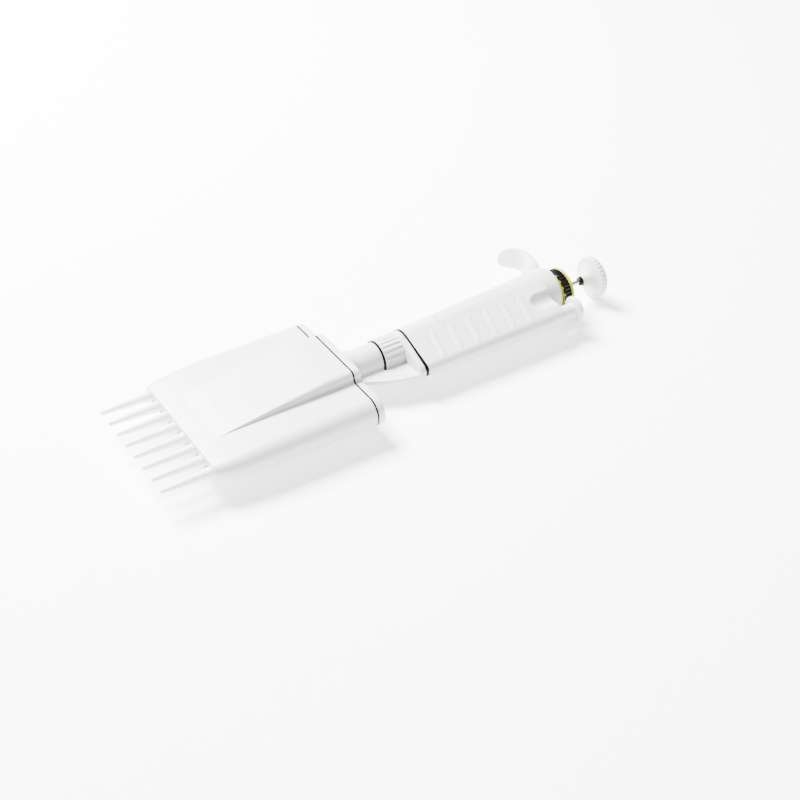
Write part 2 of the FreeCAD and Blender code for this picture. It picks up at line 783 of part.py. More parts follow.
# ---- ejector cover ------------------------------------------------------------------------------
def cover_solid(inset, start, end):
    """The cover's outer form, shrunk by the wall thickness where the inside is wanted."""
    sections = []
    for x, half_width, half_height in wing_sections:
        sections.append(stadium_section(x, half_width - inset, half_height - inset))
    wings = Part.makeLoft(sections, True, False)
    width = bump_half_width - inset
    low = rounded_section(bump_start, width, bump_start_half_height - inset, 3.2 - inset / 2.0)
    high = rounded_section(bump_level, width, axis_height - inset, bump_corner - inset / 2.0)
    bump = Part.makeLoft([low, high], True, True)
    level = Part.Face(high).extrude(point(cover_end - bump_level))
    whole = wings.fuse([bump, level])
    return whole.common(block(start, end, -60, 60, -30, 30))


def cover_shell():
    """Thin shell, open at the mouth and at the cap's end."""
    return cover_solid(0.0, cover_mouth, cover_end).cut(cover_solid(cover_wall, cover_mouth, cover_end))


def comb_plate():
    """Plate inside the mouth that strips the tips; its holes clear the nozzles."""
    start = cover_mouth + 0.8
    blank = block(start, start + 1.6, -40, 40, -10, 10)
    for y in channel_offsets():
        blank = blank.cut(rod(start - 1, start + 3, nozzle_base_radius + 0.25, y))
    return blank.common(cover_solid(cover_wall + 0.05, cover_mouth, cover_end))


def cap_outline(x, inset):
    """The same outline as the cover's end, as one face."""
    last = wing_sections[-1]
    wings = Part.Face(stadium_section(x, last[1] - inset, last[2] - inset))
    corner = bump_corner - inset / 2.0
    bump = Part.Face(rounded_section(x, bump_half_width - inset, axis_height - inset, corner))
    return wings.fuse(bump).removeSplitter()


def cover_cap():
    """Closes the top of the cover, with a boss round the neck and a lip that plugs into the cover."""
    outside = cap_outline(cap_bottom, 0.0).extrude(point(cap_top - cap_bottom))
    rim = []
    for edge in outside.Edges:
        if edge.BoundBox.XLength < 0.01 and abs(edge.BoundBox.XMin - cap_top) < 0.01:
            rim.append(edge)
    outside = outside.makeFillet(cap_edge_round, rim)
    hollow_start = cap_bottom - 1
    hollow = cap_outline(hollow_start, cover_wall + 0.9).extrude(point(cap_top - cap_roof - hollow_start))
    lip_start = cover_end - 2.5
    lip = cap_outline(lip_start, cover_wall + 0.15).extrude(point(cap_bottom + 0.5 - lip_start))
    lip = lip.cut(cap_outline(lip_start - 1, cover_wall + 1.1).extrude(point(10)))
    boss = rod(cap_top - 0.5, boss_top, boss_radius)
    upper_edge = [edge for edge in boss.Edges if abs(edge.BoundBox.XMin - boss_top) < 0.01]
    boss = boss.makeFillet(0.4, upper_edge)
    cap = outside.cut(hollow).fuse([lip, boss])
    return cap.cut(rod(cap_bottom - 2, boss_top + 1, neck_radius + 0.25))


def cover_springs():
    """Two springs that lift the cover again after the tips have been pushed off."""
    start = frame_bottom - 2.6
    end = cap_top - cap_roof - 0.1
    return Part.makeCompound([spring(start, end, 2.6, 0.4, 6, s * spring_pot_offset) for s in (1, -1)])


def build():
    node("handle_shell", handle_shell())
    node("finger_hook", finger_hook())
    node("label_plate", label_plate())
    node("counter_window", counter_window())
    node("counter_bezel", counter_bezel())
    node("top_bearing", top_bearing())
    node("threaded_spigot", threaded_spigot())
    node("return_spring", return_spring())
    node("blowout_spring", blowout_spring())
    node("stop_washer", stop_washer())
    node("ejector_spring", ejector_spring())
    node("ejector_guide", ejector_guide())
    node("dial_rim", dial_rim())
    node("dial_band", dial_band())
    node("adjusting_screw", adjusting_screw())
    for index in range(drum_count):
        node("counter_drum_" + str(index + 1), counter_drum(index))
    node("plunger_rod", plunger_rod())
    node("rod_collar", rod_collar())
    node("button_bush", button_bush())
    node("push_button", push_button())
    node("ejector_button", ejector_button())
    node("ejector_rod", ejector_rod())
    node("ejector_arm", ejector_arm())
    node("arm_screw", arm_screw())
    node("coupling_ring", coupling_ring())
    node("neck_tube", neck_tube())
    node("neck_washer", neck_washer())
    node("carrier_spring", carrier_spring())
    node("head_frame", head_frame())
    node("frame_screws", frame_screws())
    node("guide_posts", guide_posts())
    node("nozzle_plate", nozzle_plate())
    node("seal_plate", seal_plate())
    node("piston_seals", piston_seals())
    node("drive_shaft", drive_shaft())
    node("piston_carrier", piston_carrier())
    for index, y in enumerate(channel_offsets()):
        node("nozzle_" + str(index + 1), nozzle(y))
        node("piston_" + str(index + 1), piston(y))
    node("cover_shell", cover_shell())
    node("comb_plate", comb_plate())
    node("cover_cap", cover_cap())
    node("cover_springs", cover_springs())


build()
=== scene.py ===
import json
import math
from functools import partial

import bmesh
import bpy
from mathutils import Matrix, Quaternion, Vector


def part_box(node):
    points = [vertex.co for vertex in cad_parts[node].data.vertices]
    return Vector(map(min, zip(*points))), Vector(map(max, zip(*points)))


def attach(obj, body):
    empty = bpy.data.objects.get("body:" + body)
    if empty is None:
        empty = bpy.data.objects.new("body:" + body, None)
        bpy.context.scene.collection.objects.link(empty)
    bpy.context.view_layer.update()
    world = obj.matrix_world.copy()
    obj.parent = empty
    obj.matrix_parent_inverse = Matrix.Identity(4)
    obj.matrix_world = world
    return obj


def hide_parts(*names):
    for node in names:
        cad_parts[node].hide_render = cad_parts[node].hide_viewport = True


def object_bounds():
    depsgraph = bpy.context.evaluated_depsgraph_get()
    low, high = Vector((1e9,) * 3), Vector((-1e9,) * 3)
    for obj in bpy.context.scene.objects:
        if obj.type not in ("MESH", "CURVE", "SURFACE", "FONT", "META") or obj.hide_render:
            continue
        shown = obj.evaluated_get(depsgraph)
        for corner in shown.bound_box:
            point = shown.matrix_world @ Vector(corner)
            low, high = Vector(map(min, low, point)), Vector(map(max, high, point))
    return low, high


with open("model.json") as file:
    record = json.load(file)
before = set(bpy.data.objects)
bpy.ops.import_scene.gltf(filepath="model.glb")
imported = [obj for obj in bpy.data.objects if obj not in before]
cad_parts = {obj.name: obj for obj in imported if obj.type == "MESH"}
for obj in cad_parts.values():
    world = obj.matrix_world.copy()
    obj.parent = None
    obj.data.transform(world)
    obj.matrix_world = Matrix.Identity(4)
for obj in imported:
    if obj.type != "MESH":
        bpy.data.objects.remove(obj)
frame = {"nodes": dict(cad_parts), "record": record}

bl_info = {
    "name": "Eight-channel pipette",
    "version": (1, 0, 0),
    "blender": (4, 5, 0),
    "location": "View3D > Sidebar > Pipette",
    "description": "Dresses the packed frame of an eight-channel pipette and sets up a studio round it",
    "category": "Add Mesh",
}

# Lengths are in millimetres and stations run along the pipette's axis, from the nozzle tips to the
# push-button's crown. The frame says where station 0 and the axis are.
MM = 0.001
MOUNTS = {mount["name"]: mount for mount in frame["record"]["mounts"]}
CAD_LOW, CAD_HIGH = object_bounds()
AXIS_HEIGHT = MOUNTS["nozzle_end_1"]["pos_m"][2]
NOZZLES = [mount for name, mount in MOUNTS.items() if name.startswith("nozzle_end_")]
FULL_TURN = 2.0 * math.pi
ROUND_STEPS = 6


def station_of(metres):
    return (metres - CAD_LOW.x) / MM


def node_span(node):
    """First and last station of a CAD node."""
    low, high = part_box(node)
    return station_of(low.x), station_of(high.x)


def node_line(node):
    """Distance from the pipette's axis, towards the hook, of a turned CAD node."""
    low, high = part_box(node)
    return (low.y + high.y) / 2.0 / MM


def at(x, y=0.0, z=0.0):
    return Vector((CAD_LOW.x + x * MM, y * MM, AXIS_HEIGHT + z * MM))


# ---- colours and materials ------------------------------------------------------------------------
def linear(code):
    """An sRGB hex colour as linear red, green and blue."""
    shares = [int(code[index:index + 2], 16) / 255.0 for index in (0, 2, 4)]
    return [share / 12.92 if share <= 0.04045 else ((share + 0.055) / 1.055) ** 2.4 for share in shares]


def add(material, kind, settings=None, **links):
    """Adds one shader node, sets its properties and sockets, and links its inputs."""
    node = material.node_tree.nodes.new(kind)
    for key, value in (settings or {}).items():
        if key in node.inputs:
            node.inputs[key].default_value = value
        else:
            setattr(node, key, value)
    for key, source in links.items():
        material.node_tree.links.new(source, node.inputs[key.replace("_", " ")])
    return node


def ramp(material, source, low, high, from_low, from_high):
    """Maps a pattern's value onto a range."""
    settings = {"From Min": from_low, "From Max": from_high, "To Min": low, "To Max": high}
    return add(material, "ShaderNodeMapRange", settings, Value=source).outputs["Result"]


FLOW_MM = 22.0
RUB_MM = 6.0
LATHE_MM = 8.0
RIPPLE_MM = 3.0


def moulded(name, code, roughness, grain_mm, grain_depth_mm, tint=0.03, shine=0.5):
    """Injection-moulded plastic: the tool's fine texture as bump, and faint flow shading in its colour."""
    material = bpy.data.materials.new(name)
    material.use_nodes = True
    tree = material.node_tree
    tree.nodes.clear()
    place = add(material, "ShaderNodeTexCoord").outputs["Object"]
    grain = add(material, "ShaderNodeTexNoise", {"Scale": 1.0 / (grain_mm * MM), "Detail": 3.0}, Vector=place)
    flow = add(material, "ShaderNodeTexNoise", {"Scale": 1.0 / (FLOW_MM * MM), "Detail": 2.0}, Vector=place)
    rub = add(material, "ShaderNodeTexNoise", {"Scale": 1.0 / (RUB_MM * MM), "Detail": 4.0}, Vector=place)
    bright = linear(code)
    deep = [share * (1.0 - tint) for share in bright]
    share = ramp(material, flow.outputs["Fac"], 0.0, 1.0, 0.35, 0.65)
    mix = add(material, "ShaderNodeMix", {"data_type": "RGBA"})
    colour_sockets = [socket for socket in mix.inputs if socket.type == "RGBA"]
    colour_sockets[0].default_value = (*bright, 1.0)
    colour_sockets[1].default_value = (*deep, 1.0)
    tree.links.new(share, mix.inputs[0])
    colour = [socket for socket in mix.outputs if socket.type == "RGBA"][0]
    gloss = ramp(material, rub.outputs["Fac"], roughness * 0.88, roughness * 1.14, 0.3, 0.7)
    bump_settings = {"Strength": 0.35, "Distance": grain_depth_mm * MM}
    bump = add(material, "ShaderNodeBump", bump_settings, Height=grain.outputs["Fac"]).outputs["Normal"]
    links = {"Base_Color": colour, "Roughness": gloss, "Normal": bump}
    shader = add(material, "ShaderNodeBsdfPrincipled", {"IOR": 1.52, "Specular IOR Level": shine}, **links)
    add(material, "ShaderNodeOutputMaterial", Surface=shader.outputs["BSDF"])
    return material


def turned_metal(name, code, roughness, line_mm):
    """Bar turned and polished on a lathe: fine rings across the axis break up the highlight."""
    material = bpy.data.materials.new(name)
    material.use_nodes = True
    material.node_tree.nodes.clear()
    place = add(material, "ShaderNodeTexCoord").outputs["Object"]
    stretched = {"Scale": (1.0 / (line_mm * MM), 1.0 / (LATHE_MM * MM), 1.0 / (LATHE_MM * MM))}
    mapped = add(material, "ShaderNodeMapping", stretched, Vector=place).outputs["Vector"]
    rings = add(material, "ShaderNodeTexNoise", {"Scale": 1.0, "Detail": 2.0}, Vector=mapped).outputs["Fac"]
    gloss = ramp(material, rings, roughness * 0.8, roughness * 1.3, 0.3, 0.7)
    bump_settings = {"Strength": 0.2, "Distance": 0.01 * MM}
    bump = add(material, "ShaderNodeBump", bump_settings, Height=rings).outputs["Normal"]
    settings = {"Base Color": (*linear(code), 1.0), "Metallic": 1.0}
    shader = add(material, "ShaderNodeBsdfPrincipled", settings, Roughness=gloss, Normal=bump)
    add(material, "ShaderNodeOutputMaterial", Surface=shader.outputs["BSDF"])
    return material


def clear_plastic(name, code):
    """Clear moulded pane with a faint ripple left by the tool."""
    material = bpy.data.materials.new(name)
    material.use_nodes = True
    material.node_tree.nodes.clear()
    place = add(material, "ShaderNodeTexCoord").outputs["Object"]
    ripple_settings = {"Scale": 1.0 / (RIPPLE_MM * MM)}
    ripple = add(material, "ShaderNodeTexNoise", ripple_settings, Vector=place).outputs["Fac"]
    bump_settings = {"Strength": 0.1, "Distance": 0.02 * MM}
    bump = add(material, "ShaderNodeBump", bump_settings, Height=ripple).outputs["Normal"]
    settings = {
        "Base Color": (*linear(code), 1.0),
        "Roughness": 0.06,
        "IOR": 1.49,
        "Transmission Weight": 1.0,
    }
    shader = add(material, "ShaderNodeBsdfPrincipled", settings, Normal=bump)
    add(material, "ShaderNodeOutputMaterial", Surface=shader.outputs["BSDF"])
    return material


def make_materials(colours):
    return {
        # ABS moulded in a lightly textured tool: a soft, slightly broken highlight
        "white_abs": moulded("white_abs_fine_texture", colours.body, 0.42, 0.35, 0.012),
        # ABS from a polished tool, as on touched controls: a sharper highlight
        "polished_abs": moulded("white_abs_polished", colours.body, 0.3, 0.8, 0.006),
        # polypropylene nozzles: waxy and a little translucent
        "nozzle_pp": moulded("white_polypropylene", colours.nozzle, 0.3, 0.6, 0.006, 0.02),
        # printed film over the label: satin and a shade cooler than the handle
        "plate_film": moulded("satin_label_film", colours.label, 0.34, 0.25, 0.006, 0.02),
        # ABS coloured through, glossy from handling
        "yellow_plastic": moulded("yellow_abs", colours.rim, 0.34, 0.4, 0.01, 0.06),
        # acetal and filled nylon: near black with a dull sheen
        "black_plastic": moulded("black_acetal", colours.black, 0.38, 0.3, 0.012, 0.2, 0.12),
        "drum_plastic": moulded("black_nylon_drums", colours.black, 0.5, 0.3, 0.01, 0.2, 0.2),
        "grey_plastic": moulded("grey_nylon", colours.grey, 0.5, 0.3, 0.01, 0.06),
        "seal_rubber": moulded("black_nitrile_rubber", colours.black, 0.7, 0.2, 0.02, 0.1, 0.12),
        # bright stainless rods, drawn spring wire and machined aluminium
        "steel": turned_metal("polished_stainless", "C9C9CB", 0.2, 0.25),
        "spring_steel": turned_metal("drawn_spring_wire", "A9AAAD", 0.32, 0.5),
        "aluminium": turned_metal("machined_aluminium", "D3D5D8", 0.36, 0.3),
        "clear_pane": clear_plastic("clear_polycarbonate", "F4F8F8"),
    }


# ---- mesh tools -----------------------------------------------------------------------------------
def loft(bm, rings):
    """Skins a run of equally long rings: a grid whose rows take the rings' places and close round."""
    rows = len(rings) - 1
    columns = len(rings[0])
    verts = bmesh.ops.create_grid(bm, x_segments=columns, y_segments=rows, size=1.0)["verts"]
    for vert in verts:
        column = round((vert.co.x + 1.0) / 2.0 * columns) % columns
        row = round((vert.co.y + 1.0) / 2.0 * rows)
        vert.co = rings[row][column]
    bmesh.ops.remove_doubles(bm, verts=verts, dist=1e-8)


def close_ends(bm):
    edges = [edge for edge in bm.edges if edge.is_boundary]
    bmesh.ops.holes_fill(bm, edges=edges, sides=0)


def circle_ring(x, radius, count, y=0.0, z=0.0, flute=0.0, flutes=0, sharpness=1.0):
    """Ring round an axis, whose radius may dip at evenly spaced flutes."""
    ring = []
    for index in range(count):
        angle = FULL_TURN * index / count
        dip = 0.0
        if flutes:
            dip = flute * (0.5 + 0.5 * math.cos(angle * flutes)) ** sharpness
        ring.append(at(x, y + (radius - dip) * math.cos(angle), z + (radius - dip) * math.sin(angle)))
    return ring


def turn(bm, profile, y=0.0, z=0.0, steps=96, closed=False):
    """Spins a profile of (station, radius) points about a line beside the pipette's axis."""
    verts = [bm.verts.new(at(x, y, z + radius)) for x, radius in profile]
    edges = [bm.edges.new(pair) for pair in zip(verts, verts[1:])]
    if closed:
        edges.append(bm.edges.new((verts[-1], verts[0])))
    bmesh.ops.spin(
        bm, geom=verts + edges, cent=at(0, y, z), axis=(1, 0, 0), angle=FULL_TURN, steps=steps, use_merge=True
    )
    bmesh.ops.remove_doubles(bm, verts=bm.verts, dist=1e-7)


def rounded_end(end, roundness, ring_at):
    """Rings that round an end off in a quarter circle; ring_at gives the outline at a station and inset."""
    rings = []
    for step in range(ROUND_STEPS + 1):
        angle = math.radians(90.0 * step / ROUND_STEPS)
        inset = roundness * (1.0 - math.cos(angle))
        rings.append(ring_at(end - roundness + roundness * math.sin(angle), inset))
    return rings


def shifted(ring, ahead_mm):
    """A ring's points moved along the axis."""
    return [point + Vector((ahead_mm * MM, 0, 0)) for point in ring]


def soften(bm, width_mm, angle=35.0, segments=3):
    """Rounds every edge that turns by more than the angle."""
    bmesh.ops.recalc_face_normals(bm, faces=bm.faces)
    sharp = [edge for edge in bm.edges if edge.is_manifold and edge.calc_face_angle() > math.radians(angle)]
    bmesh.ops.bevel(
        bm,
        geom=sharp,
        offset=width_mm * MM,
        offset_type="OFFSET",
        affect="EDGES",
        segments=segments,
        profile=0.5,
        material=-1,
        clamp_overlap=True,
    )


def carve(mesh, cutter, operation="DIFFERENCE"):
    """Cuts one closed mesh with another and returns the result as a new mesh."""
    body = bpy.data.objects.new("carve_body", mesh)
    tool = bpy.data.objects.new("carve_tool", cutter)
    for item in (body, tool):
        bpy.context.scene.collection.objects.link(item)
    modifier = body.modifiers.new("carve", "BOOLEAN")
    modifier.operation = operation
    modifier.solver = "EXACT"
    modifier.object = tool
    depsgraph = bpy.context.evaluated_depsgraph_get()
    result = bpy.data.meshes.new_from_object(body.evaluated_get(depsgraph))
    if not result.polygons:
        raise RuntimeError("the cut left nothing")
    for item in (body, tool):
        bpy.data.objects.remove(item)
    return result


def as_mesh(bm, name):
    bmesh.ops.remove_doubles(bm, verts=bm.verts, dist=1e-7)
    bmesh.ops.recalc_face_normals(bm, faces=bm.faces)
    mesh = bpy.data.meshes.new(name)
    bm.to_mesh(mesh)
    bm.free()
    return mesh


def finished(name, mesh, finish, body, nodes=(), sharp=38.0):
    """Shades a mesh, puts it in the scene, and hangs it on its body in place of CAD nodes."""
    mesh.name = name
    mesh.materials.clear()
    mesh.materials.append(MATERIALS[finish])
    mesh.shade_smooth()
    mesh.set_sharp_from_angle(angle=math.radians(sharp))
    piece = bpy.data.objects.new(name, mesh)
    bpy.context.scene.collection.objects.link(piece)
    weighted = piece.modifiers.new("even_shading", "WEIGHTED_NORMAL")
    weighted.keep_sharp = True
    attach(piece, body)
    if nodes:
        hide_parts(*nodes)
    return piece


MATERIALS = {}


# ---- sizes and colours that a user may change -------------------------------------------------------
def hex_colour(name, description, default):
    return bpy.props.StringProperty(name=name, description=description + ", sRGB hex", default=default)


def length(name, description, default_mm):
    return bpy.props.FloatProperty(
        name=name,
        description=description,
        default=default_mm * MM,
        min=0.0,
        precision=5,
        subtype="DISTANCE",
        unit="LENGTH",
    )


class PipetteColours(bpy.types.PropertyGroup):
    body: hex_colour("Body", "White plastic", "D2D2D0")
    nozzle: hex_colour("Nozzles", "Nozzle plastic", "F2F2F1")
    label: hex_colour("Label", "Blank label film", "D0D1D2")
    rim: hex_colour("Dial rim", "Yellow rim", "A8A200")
    black: hex_colour("Black", "Black plastic", "050505")
    grey: hex_colour("Grey", "Inner grey plastic", "C9CACB")


class PipetteSizes(bpy.types.PropertyGroup):
    saddle_radius: length("Saddle", "Radius of the saddle's scoop", 5.6)
    grip_depth: length("Grip depth", "Depth of the grip lines", 0.5)
    grip_ridge: length("Grip ridge", "Height of the soft ridges", 0.34)
    label_gap: length("Label gap", "Gap round the label plate", 0.26)
    fillet: length("Cover fillet", "Fillet beside the raised middle", 2.2)


# ---- head -------------------------------------------------------------------------------------------
class PIPETTE_OT_nozzles(bpy.types.Operator):
    """Eight tapered nozzles, each with its parallel land, step and bore"""

    bl_idname = "pipette.nozzles"
    bl_label = "Nozzles"

    def execute(self, context):
        for number, mount in enumerate(NOZZLES, 1):
            name = "nozzle_" + str(number)
            start, end = node_span(name)
            line = mount["pos_m"][1] / MM
            land = mount["dims"]["r_mm"]
            middle = station_of(mount["pos_m"][0])
            half = mount["dims"]["length_mm"] / 2.0
            bore = 0.6
            barrel = 2.65
            hidden = end - 28.0
            profile = [
                (start + 9.0, bore),
                (start, bore),
                (start, 1.1),
                (middle - half, land),
                (middle + half, land),
                (middle + half + 1.0, land + 0.08),
                (middle + half + 1.2, land + 0.34),
                (middle + half + 7.0, barrel),
                (hidden, barrel),
                (hidden, bore),
            ]
            bm = bmesh.new()
            turn(bm, profile, line, steps=64, closed=True)
            soften(bm, 0.1, segments=2)
            finished(name + "_shell", as_mesh(bm, name), "nozzle_pp", "head", [name])
        return {"FINISHED"}


COVER_TABLE = [
    # station, half width, half thickness of the wings
    (24.3, 36.0, 4.0),
    (31.0, 38.0, 5.0),
    (42.0, 39.4, 6.1),
    (62.0, 39.9, 6.9),
    (108.6, 40.0, 7.5),
]
RAISE_START = 33.0
RAISE_LENGTH = 59.0
RAISED_HEIGHT = 12.5
RAISED_HALF_WIDTH = 18.6
RAISED_CORNER = 4.4


def cover_size(x):
    """Half width and half thickness of the wings, and half height of the raised middle, at a station."""
    for (x0, w0, t0), (x1, w1, t1) in zip(COVER_TABLE, COVER_TABLE[1:]):
        if x <= x1 + 0.01:
            share = (x - x0) / (x1 - x0)
            half_width = w0 + (w1 - w0) * share
            half_thickness = t0 + (t1 - t0) * share
            break
    rise = min(1.0, max(0.0, (x - RAISE_START) / RAISE_LENGTH))
    return half_width, half_thickness, half_thickness + (RAISED_HEIGHT - half_thickness) * rise ** 1.2


def arc_points(centre, radius, start, end, count):
    """Points on an arc across the axis, from one angle to another in degrees, without the last one."""
    points = []
    for index in range(count):
        angle = math.radians(start + (end - start) * index / count)
        points.append((centre[0] + radius * math.cos(angle), centre[1] + radius * math.sin(angle)))
    return points


def run_points(start, end, count):
    return [
        (start[0] + (end[0] - start[0]) * index / count, start[1] + (end[1] - start[1]) * index / count)
        for index in range(count)
    ]


def cover_ring(x, inset, fillet):
    """Outline of the cover across the axis: flat wings with round ends and a raised middle."""
    half_width, thickness, height = cover_size(x)
    half_width -= inset
    thickness -= inset
    height -= inset
    middle = RAISED_HALF_WIDTH - inset
    step = height - thickness
    fillet = min(fillet, step / 2.0)
    corner = min(RAISED_CORNER, max(step - fillet, 0.0))
    quarter = arc_points((half_width - thickness, 0.0), thickness, 0, 90, 12)
    quarter += run_points((half_width - thickness, thickness), (middle + fillet, thickness), 10)
    quarter += arc_points((middle + fillet, thickness + fillet), fillet, 270, 180, 8)
    quarter += run_points((middle, thickness + fillet), (middle, height - corner), 3)
    quarter += arc_points((middle - corner, height - corner), corner, 0, 90, 10)
    quarter += run_points((middle - corner, height), (0.0, height), 8)
    half = quarter + [(0.0, height)] + [(-y, z) for y, z in reversed(quarter)]
    outline = half[:-1] + [(-y, -z) for y, z in half[:-1]]
    return [at(x, y, z) for y, z in outline]


class PIPETTE_OT_cover(bpy.types.Operator):
    """Wide ejector cover with its raised middle, open at the mouth"""

    bl_idname = "pipette.cover"
    bl_label = "Cover"

    def execute(self, context):
        fillet = context.scene.pipette_sizes.fillet / MM
        wall = 1.4
        mouth, end = node_span("cover_shell")
        lip = 0.5
        stations = [mouth, mouth + 0.12, mouth + lip]
        spans = 64
        stations += [mouth + lip + (end - mouth - 2 * lip) * step / spans for step in range(1, spans)]
        stations += [end - 0.08, end]
        insets = [0.4, 0.15, 0.0] + [0.0] * (spans - 1) + [0.0, 0.08]
        rings = [cover_ring(x, inset, fillet) for x, inset in zip(stations, insets)]
        rings += [cover_ring(x, wall, fillet) for x in reversed(stations)]
        rings.append(rings[0])
        bm = bmesh.new()
        loft(bm, rings)
        finished("cover_skin", as_mesh(bm, "cover_skin"), "white_abs", "cover", ["cover_shell"], sharp=50)
        return {"FINISHED"}


class PIPETTE_OT_cap(bpy.types.Operator):
    """Cap that closes the cover's top, its inner lip coloured black as painted shadow for the gap, and the
    boss round the neck
    """

    bl_idname = "pipette.cap"
    bl_label = "Cap"

    def execute(self, context):
        fillet = context.scene.pipette_sizes.fillet / MM
        outline = partial(cover_ring, fillet=fillet)
        _, cover_end = node_span("cover_shell")
        lip_start, boss_top = node_span("cover_cap")
        bottom = cover_end + 0.95
        top = cover_end + 4.8
        wall = 2.3
        neck_bore = 7.75
        places = [(top - 2.0, wall), (bottom, wall), (bottom, 0.08), (bottom + 0.08, 0.0)]
        rings = [outline(x, inset) for x, inset in places]
        rings += rounded_end(top, 1.6, outline)
        bm = bmesh.new()
        loft(bm, rings)
        close_ends(bm)
        cap = as_mesh(bm, "cap")
        bore = bmesh.new()
        below = bottom - 1
        above = boss_top + 1
        turn(bore, [(below, 0.0), (below, neck_bore), (above, neck_bore), (above, 0.0)])
        cap = carve(cap, as_mesh(bore, "bore"))
        finished("cap_skin", cap, "white_abs", "cover", ["cover_cap"], sharp=50)
        boss = bmesh.new()
        foot = top - 0.2
        profile = [(foot, neck_bore), (boss_top, neck_bore), (boss_top, 9.2), (top + 0.8, 9.2), (foot, 10.0)]
        turn(boss, profile, closed=True)
        soften(boss, 0.3)
        finished("cap_boss", as_mesh(boss, "boss"), "white_abs", "cover")
        self.lip(outline, lip_start, cover_end, bottom)
        return {"FINISHED"}

    def lip(self, outline, start, cover_end, cap_bottom):
        """The cap's inner lip, coloured black as painted shadow, so the gap between the cover and the cap
        shows as a thin dark line.
        """
        lowest = cover_end + 0.02
        highest = cap_bottom - 0.02
        places = [(start, 2.5), (start, 1.5), (lowest, 1.5), (lowest, 0.1), (highest, 0.1), (highest, 2.5)]
        rings = [outline(x, inset) for x, inset in places]
        rings.append(rings[0])
        bm = bmesh.new()
        loft(bm, rings)
        # black here is painted shadow in the gap under the cap, not a dark part
        finished("cap_shadow_lip", as_mesh(bm, "lip"), "black_plastic", "cover", sharp=50)


class PIPETTE_OT_neck(bpy.types.Operator):
    """Neck tube of the head, and a black band under the coupling ring that paints the shadow below the ring's
    rim
    """

    bl_idname = "pipette.neck"
    bl_label = "Neck"

    def execute(self, context):
        start, end = node_span("neck_tube")
        ring_start, _ = node_span("coupling_ring")
        _, boss_end = node_span("cover_cap")
        shaft = 7.5
        bore = 2.6
        sleeve_start = boss_end + 0.3
        sleeve_end = ring_start - 0.05
        flange = start + 1.5
        profile = [(start, bore), (start, 9.0), (flange, 9.0), (flange, shaft), (sleeve_start, shaft)]
        profile += [(sleeve_start, 8.15), (sleeve_end, 8.15), (sleeve_end, shaft), (end - 1.7, shaft)]
        profile += [(end - 1.7, 8.05), (end, 8.05), (end, bore), (end - 4.0, bore), (end - 4.0, 5.4)]
        profile += [(start + 5.5, 5.4), (start + 5.5, bore)]
        bm = bmesh.new()
        turn(bm, profile, closed=True)
        soften(bm, 0.15)
        finished("neck_skin", as_mesh(bm, "neck"), "white_abs", "head", ["neck_tube"])
        # black band just under the ring's rim: painted shadow, a dark piece where there is only shade
        ring_shadow = bmesh.new()
        ring_shadow_end = ring_start + 0.9
        profile = [(ring_start, 7.62), (ring_start, 8.8), (ring_shadow_end, 8.8), (ring_shadow_end, 7.62)]
        turn(ring_shadow, profile, closed=True)
        finished("ring_shadow_band", as_mesh(ring_shadow, "ring_shadow"), "black_plastic", "coupling")
        return {"FINISHED"}


class PIPETTE_OT_ring(bpy.types.Operator):
    """Ribbed coupling ring"""

    bl_idname = "pipette.ring"
    bl_label = "Coupling ring"

    def execute(self, context):
        start, end = node_span("coupling_ring")
        ribs = 24
        points_per_rib = 12
        outline = [
            # station, radius, depth of the flutes
            (start + 1.5, 8.2, 0.0), (start + 1.5, 7.62, 0.0), (start + 0.85, 7.62, 0.0),
            (start + 0.85, 8.9, 0.0), (start + 0.9, 9.15, 0.0), (start + 1.1, 9.28, 0.0),
            (start + 1.4, 9.3, 0.05), (start + 1.9, 9.28, 0.4), (start + 2.3, 9.27, 0.5),
            (end - 3.6, 9.3, 0.5), (end - 3.1, 9.3, 0.35), (end - 2.6, 9.32, 0.0),
            (end - 0.5, 9.45, 0.0), (end - 0.12, 9.4, 0.0), (end, 9.2, 0.0), (end, 8.2, 0.0),
        ]
        count = ribs * points_per_rib
        rings = [circle_ring(x, r, count, flute=depth, flutes=ribs, sharpness=0.7) for x, r, depth in outline]
        rings.append(rings[0])
        bm = bmesh.new()
        loft(bm, rings)
        finished("coupling_ring_skin", as_mesh(bm, "ring"), "white_abs", "coupling", ["coupling_ring"])
        return {"FINISHED"}


# ---- handle -----------------------------------------------------------------------------------------
HANDLE_START, BARREL_END = node_span("handle_shell")
_, GUIDE_END = node_span("ejector_guide")
BULGE_END = GUIDE_END + 0.2
EJECTOR_LINE = node_line("ejector_button")
PLATE_START, PLATE_END = node_span("label_plate")
BIG_POINTS = 56
FLANK_POINTS = 36
SMALL_POINTS = 28
GRIP_START = 152.0
GRIP_SPACING = 10.4
GRIP_COUNT = 6
FINE_FROM = 150.0
FINE_TO = 208.5
END_ROUND = 1.3
SADDLE_START = 216.5
SADDLE_LINE = -13.4
SADDLE_LEVEL = 11.0
SADDLE_SOFTNESS = 1.6
LABEL_HALF_WIDTH = 3.8
LABEL_STEPS = 24
STEM_BORE_START = 190.0


def handle_sizes(x):
    """The barrel's and the bulge's circles at a station: centre, radius, centre, radius."""
    share = min(1.0, (x - HANDLE_START) / (BULGE_END - HANDLE_START))
    return 2.0 * share, 9.8 + 2.7 * share, -19.2 + 1.2 * share, 4.0 + 1.5 * share


def smooth_min(a, b, reach):
    """The smaller of two values, with a soft change from one to the other."""
    share = max(0.0, min(1.0, 0.5 + 0.5 * (b - a) / reach))
    return b + (a - b) * share - reach * share * (1.0 - share)


def bell(distance, width):
    return math.exp(-((distance / width) ** 2))


def scooped(x, y, height, sizes):
    """Half height of the handle's face after the saddle's scoop, with a soft edge."""
    ahead = max(0.0, SADDLE_START - x) * 0.8
    room = (sizes.saddle_radius / MM) ** 2 - (y - SADDLE_LINE) ** 2 - ahead ** 2
    if room <= 0.0:
        return height
    return smooth_min(height, SADDLE_LEVEL - math.sqrt(room), SADDLE_SOFTNESS)


